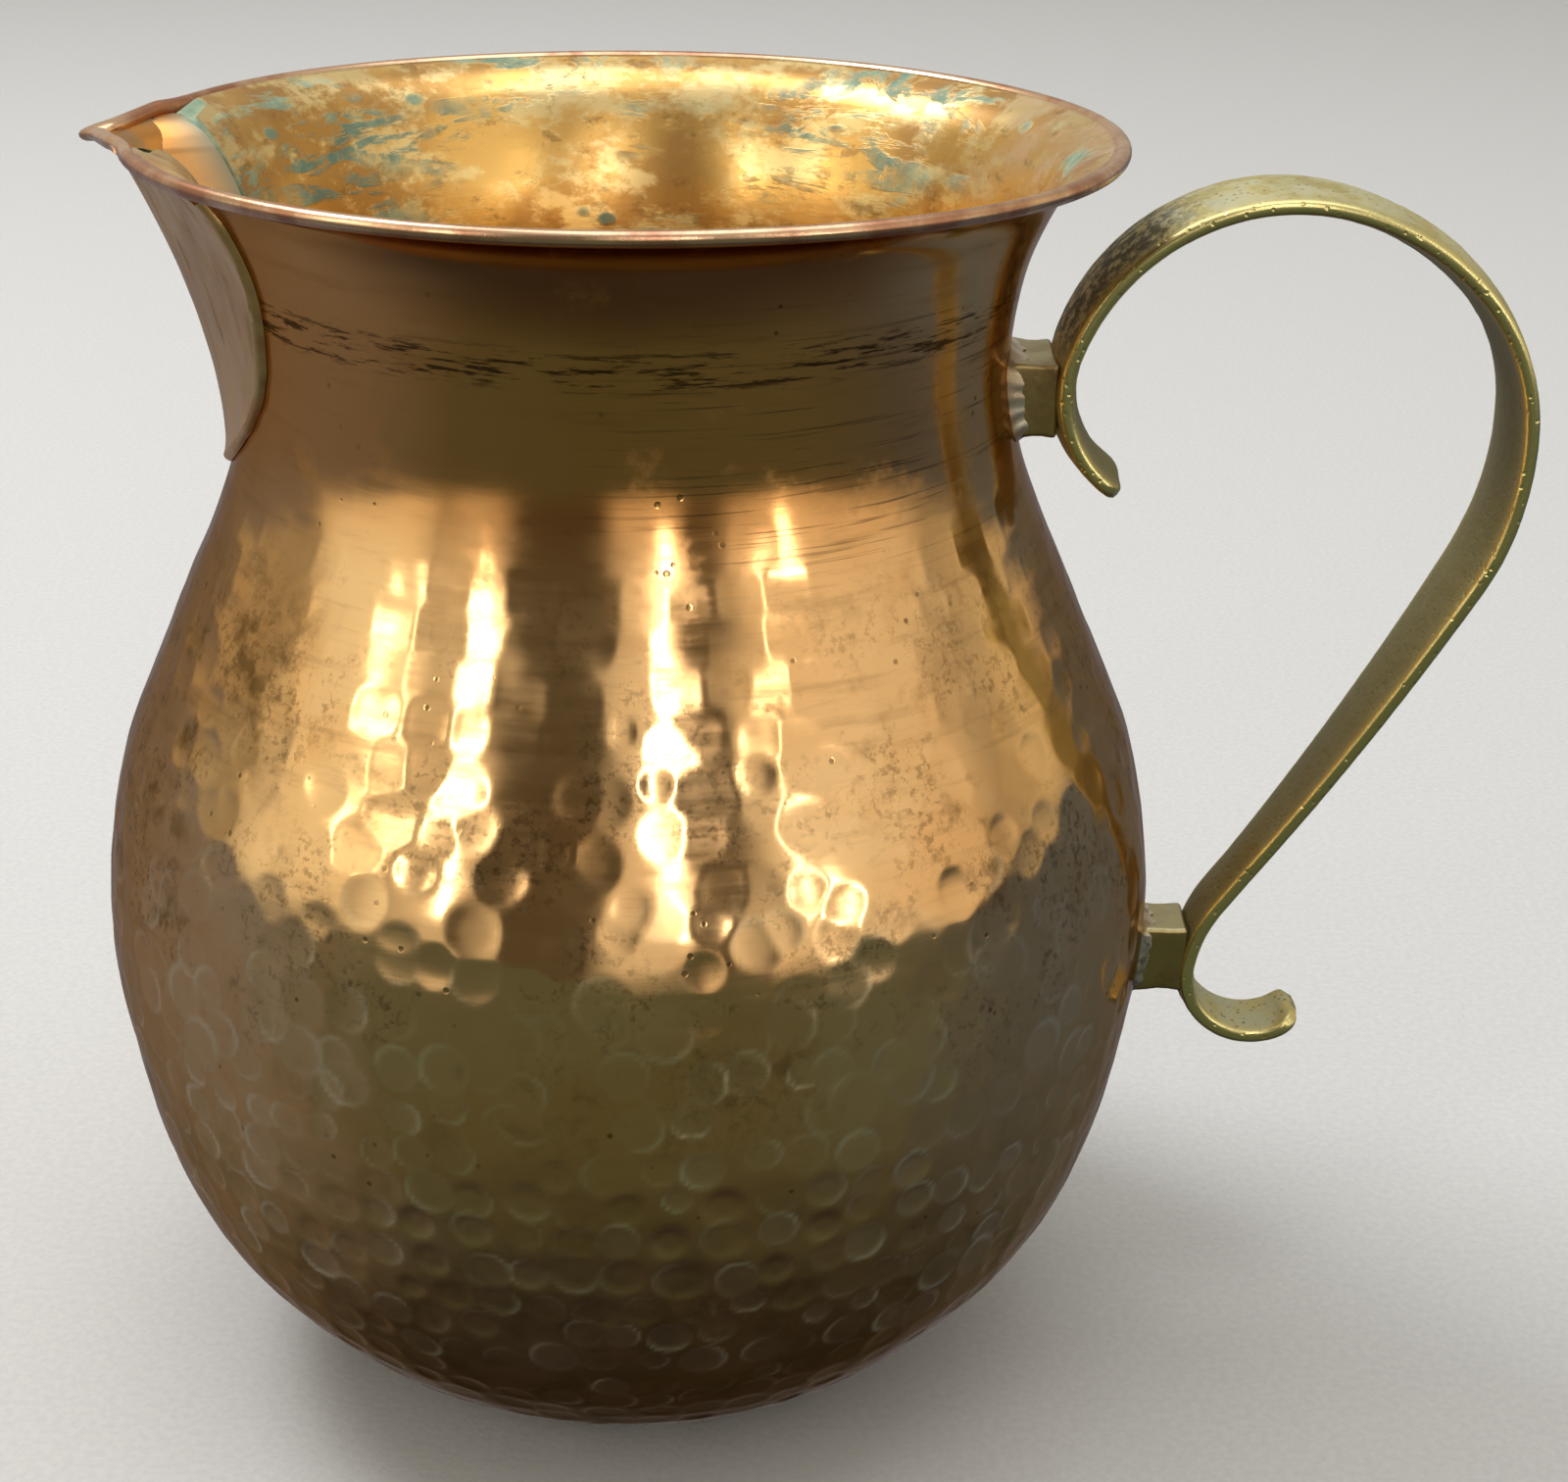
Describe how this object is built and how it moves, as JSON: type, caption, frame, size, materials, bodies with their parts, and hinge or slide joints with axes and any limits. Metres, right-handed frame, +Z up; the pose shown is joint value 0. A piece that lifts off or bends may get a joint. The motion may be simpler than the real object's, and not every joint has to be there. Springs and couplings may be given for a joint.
{
  "type": "hammered copper jug",
  "caption": "Hammered copper jug with a flared rim, a soldered pouring spout and a scrolled brass strap handle for pouring drinks.",
  "frame": {"origin": "centre of the flat base, on the jug's axis, where the jug stands on the table", "axes": "+Z up along the jug's axis, +X towards the handle, -X towards the spout, Y across"},
  "size_m": [0.1725, 0.13, 0.156],
  "materials": {
    "copper_body": "hammered copper, worn",
    "copper_spout": "brushed copper",
    "brass_handle": "cast brass, bright edges and dull faces",
    "brass_post": "dull cast brass",
    "solder": "dull silver solder"
  },
  "bodies": {
    "root": {"jug_body": "copper_body", "spout": "copper_spout", "spout_seam": "solder", "handle_strap": "brass_handle", "upper_post": "brass_post", "lower_post": "brass_post", "upper_solder": "solder", "lower_solder": "solder"}
  },
  "joints": []
}
